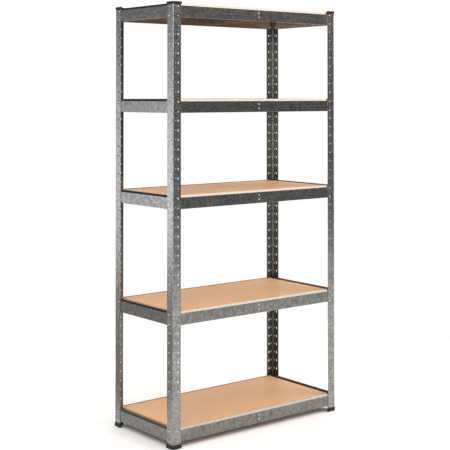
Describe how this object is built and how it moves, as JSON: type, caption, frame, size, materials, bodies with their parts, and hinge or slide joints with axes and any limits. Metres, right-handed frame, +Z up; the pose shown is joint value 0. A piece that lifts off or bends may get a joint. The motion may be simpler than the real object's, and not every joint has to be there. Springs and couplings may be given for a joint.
{
  "type": "boltless steel shelving",
  "caption": "Open storage rack of perforated angle posts, riveted rim beams with lift-off board shelves, and plastic feet and caps.",
  "frame": {"origin": "on the floor at the middle of the footprint", "axes": "+X along the shelves to the right seen from the front, +Y from the front to the rear, +Z up"},
  "size_m": [0.9046, 0.4266, 1.8],
  "materials": {
    "galvanised_steel": "hot-dip zinc, mottled, half matt",
    "deck_board": "smooth pressed fibreboard, half matt",
    "black_plastic": "moulded, matt"
  },
  "bodies": {
    "frame": {"post_front_left": "galvanised_steel", "foot_front_left": "black_plastic", "cap_front_left": "black_plastic", "post_front_right": "galvanised_steel", "foot_front_right": "black_plastic", "cap_front_right": "black_plastic", "post_rear_right": "galvanised_steel", "foot_rear_right": "black_plastic", "cap_rear_right": "black_plastic", "post_rear_left": "galvanised_steel", "foot_rear_left": "black_plastic", "cap_rear_left": "black_plastic", "beam_front_1": "galvanised_steel", "beam_right_1": "galvanised_steel", "beam_rear_1": "galvanised_steel", "beam_left_1": "galvanised_steel", "centre_bar_1": "galvanised_steel", "rivets_1": "galvanised_steel", "beam_front_2": "galvanised_steel", "beam_right_2": "galvanised_steel", "beam_rear_2": "galvanised_steel", "beam_left_2": "galvanised_steel", "centre_bar_2": "galvanised_steel", "rivets_2": "galvanised_steel", "beam_front_3": "galvanised_steel", "beam_right_3": "galvanised_steel", "beam_rear_3": "galvanised_steel", "beam_left_3": "galvanised_steel", "centre_bar_3": "galvanised_steel", "rivets_3": "galvanised_steel", "beam_front_4": "galvanised_steel", "beam_right_4": "galvanised_steel", "beam_rear_4": "galvanised_steel", "beam_left_4": "galvanised_steel", "centre_bar_4": "galvanised_steel", "rivets_4": "galvanised_steel", "beam_front_5": "galvanised_steel", "beam_right_5": "galvanised_steel", "beam_rear_5": "galvanised_steel", "beam_left_5": "galvanised_steel", "centre_bar_5": "galvanised_steel", "rivets_5": "galvanised_steel"},
    "lift_off_deck_1": {"deck_1": "deck_board"},
    "lift_off_deck_2": {"deck_2": "deck_board"},
    "lift_off_deck_3": {"deck_3": "deck_board"},
    "lift_off_deck_4": {"deck_4": "deck_board"},
    "lift_off_deck_5": {"deck_5": "deck_board"}
  },
  "joints": [
    {"name": "deck_1_lift", "type": "slide", "parent": "frame", "child": "lift_off_deck_1", "axis": [0, 0, 1], "range_m": [0, 0.3]},
    {"name": "deck_2_lift", "type": "slide", "parent": "frame", "child": "lift_off_deck_2", "axis": [0, 0, 1], "range_m": [0, 0.3]},
    {"name": "deck_3_lift", "type": "slide", "parent": "frame", "child": "lift_off_deck_3", "axis": [0, 0, 1], "range_m": [0, 0.3]},
    {"name": "deck_4_lift", "type": "slide", "parent": "frame", "child": "lift_off_deck_4", "axis": [0, 0, 1], "range_m": [0, 0.3]},
    {"name": "deck_5_lift", "type": "slide", "parent": "frame", "child": "lift_off_deck_5", "axis": [0, 0, 1], "range_m": [0, 0.3]}
  ]
}
